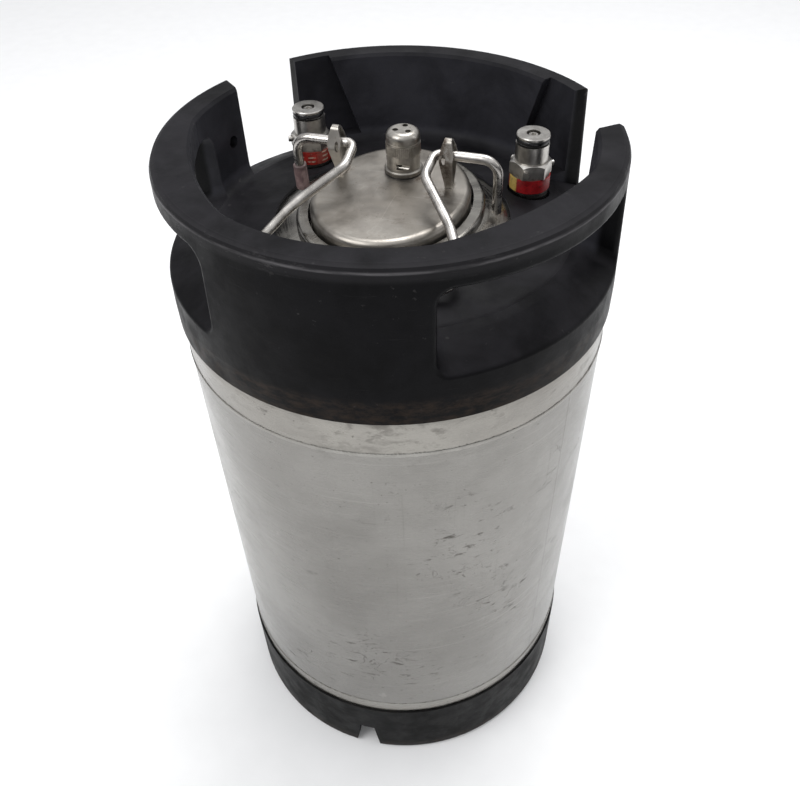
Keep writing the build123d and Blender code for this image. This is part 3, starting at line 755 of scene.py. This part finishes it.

# %% [markdown]
# The tree stands a lens or a rod on every point of the circle, and a random factor with a fixed
# seed makes some a little larger than others. It ends by turning its instances into real faces and
# setting their material, because instances would be lost if the keg were exported.

# %% Ring tree
def ring_tree(name):
    """A tree that stands copies of a lens or rod round a circle. Sizes are its inputs, in metres."""
    tree = bpy.data.node_groups.new(name, "GeometryNodeTree")
    given = open_inputs(tree, RING_INPUTS)
    circle = add(tree, "GeometryNodeMeshCircle", {}, Vertices=given["Count"], Radius=given["Radius"])
    lens = add(tree, "GeometryNodeMeshUVSphere", {}, Segments=8, Rings=5, Radius=0.5)
    rod = add(tree, "GeometryNodeMeshCylinder", {"fill_type": "TRIANGLE_FAN"},
              Vertices=6, Radius=0.5, Depth=1.0)
    piece = add(tree, "GeometryNodeSwitch", {"input_type": "GEOMETRY"},
                i0=given["Rod"], i1=lens.outputs["Mesh"], i2=rod.outputs["Mesh"])
    place = add(tree, "GeometryNodeInputPosition").outputs[0]
    turn = add(tree, "FunctionNodeAlignRotationToVector", {"axis": "X", "pivot_axis": "Z"}, Vector=place)
    chance = add(tree, "FunctionNodeRandomValue", {"data_type": "FLOAT"},
                 i2=calc(tree, "SUBTRACT", 1.0, given["Uneven"]), i3=calc(tree, "ADD", 1.0, given["Uneven"]),
                 Seed=given["Seed"])
    scale = add(tree, "ShaderNodeVectorMath", {"operation": "SCALE"},
                i0=given["Size"], Scale=chance.outputs[1])
    row = add(tree, "GeometryNodeInstanceOnPoints", {}, Points=circle.outputs[0], Instance=piece.outputs[0],
              Rotation=turn.outputs[0], Scale=scale.outputs[0])
    moved = add(tree, "GeometryNodeTransform", {}, Geometry=row.outputs[0], Translation=given["Centre"])
    solid = add(tree, "GeometryNodeRealizeInstances", {}, Geometry=moved.outputs[0])
    dressed = add(tree, "GeometryNodeSetMaterial", {}, Geometry=solid.outputs[0], Material=given["Finish"])
    tree.links.new(dressed.outputs[0], tree.nodes.new("NodeGroupOutput").inputs[0])
    print(name, "uses", len(tree.nodes), "nodes")
    return tree


ROWS = ring_tree("row round an axis")

# %% [markdown]
# A tree only runs on an object. So an empty holder carries it for a moment, the result is copied
# out as a plain mesh, and the holder is thrown away. Each modifier input is set by its identifier.

# %% Growing a row
def grown(name, tree, sizes):
    """Runs a geometry tree once and keeps its result as a plain mesh."""
    holder = bpy.data.objects.new(name + "_grower", bpy.data.meshes.new(name + "_grower"))
    bpy.context.collection.objects.link(holder)
    modifier = holder.modifiers.new("grow", "NODES")
    modifier.node_group = tree
    for socket in tree.interface.items_tree:
        if socket.in_out == "INPUT" and socket.name in sizes:
            modifier[socket.identifier] = sizes[socket.name]
    graph = bpy.context.evaluated_depsgraph_get()
    mesh = bpy.data.meshes.new_from_object(holder.evaluated_get(graph))
    bpy.data.objects.remove(holder)
    piece = bpy.data.objects.new(name, mesh)
    bpy.context.collection.objects.link(piece)
    print(name, "has", len(mesh.polygons), "faces")
    return piece


print("rows grow from", [item.name for item in ROWS.interface.items_tree])

# %% [markdown]
# Weld scales are about two millimetres apart, so their number follows from the girth of the bead.
# Each is a flat lens, a little longer along the seam than it is tall, half sunk in its bead.

# %% Weld ripples
SCALE_PITCH = 1.9 * MM
SCALE_SIZE = (0.5 * MM, 3.2 * MM, 2.4 * MM)
for label, seed in (("upper", 3), ("lower", 8)):
    low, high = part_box(label + "_weld_bead")
    count = round(2 * math.pi * high[0] / SCALE_PITCH)
    ripples = grown(label + "_weld_ripples", ROWS, {
        "Count": count, "Radius": high[0] - 0.15 * MM, "Centre": (0, 0, (low[2] + high[2]) / 2),
        "Size": SCALE_SIZE, "Uneven": 0.12, "Seed": seed, "Finish": bead_steel})
    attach(ripples, "keg")
    print(count, "scales on the", label, "weld")

# %% [markdown]
# A fine knurl under the valve's cap gives fingers a hold. It is rolled in with a toothed wheel, so
# it is even: the same tree stands plain rods side by side, with no unevenness at all.

# %% Valve knurl
VALVE_WALL = 8.7 * MM
KNURL_Z = VALVE[1][2] - 9.4 * MM
ROD_SIZE = (0.62 * MM, 0.62 * MM, 5.2 * MM)
knurl = grown("relief_valve_knurl", ROWS, {
    "Count": 58, "Radius": VALVE_WALL - 0.05 * MM, "Centre": (VALVE_X, VALVE_Y, KNURL_Z),
    "Size": ROD_SIZE, "Uneven": 0.0, "Rod": True, "Seed": 1, "Finish": valve_steel})
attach(knurl, "lid")

# %% [markdown]
# The floor is a paper sweep, so wide that its edge is never seen. It isn't part of the keg.

# %% Floor
def make_floor(half_width):
    """A wide pale sheet under the keg."""
    mesh = bpy.data.meshes.new("floor")
    corners = [(x * half_width, y * half_width, 0) for x, y in ((-1, -1), (1, -1), (1, 1), (-1, 1))]
    mesh.from_pydata(corners, [], [(0, 1, 2, 3)])
    floor = bpy.data.objects.new("floor", mesh)
    bpy.context.collection.objects.link(floor)
    material, tree, shader = new_material("paper sweep, matt white")
    speck = noise(tree, places(tree), 40.0, 3.0)
    tree.links.new(blend(tree, speck, linear("f4f4f4"), linear("fbfbfb")), shader.inputs["Base Color"])
    shader.inputs["Roughness"].default_value = 0.8
    mesh.materials.append(material)
    print("floor is", 2 * half_width, "m wide")
    return floor


make_floor(4.0)
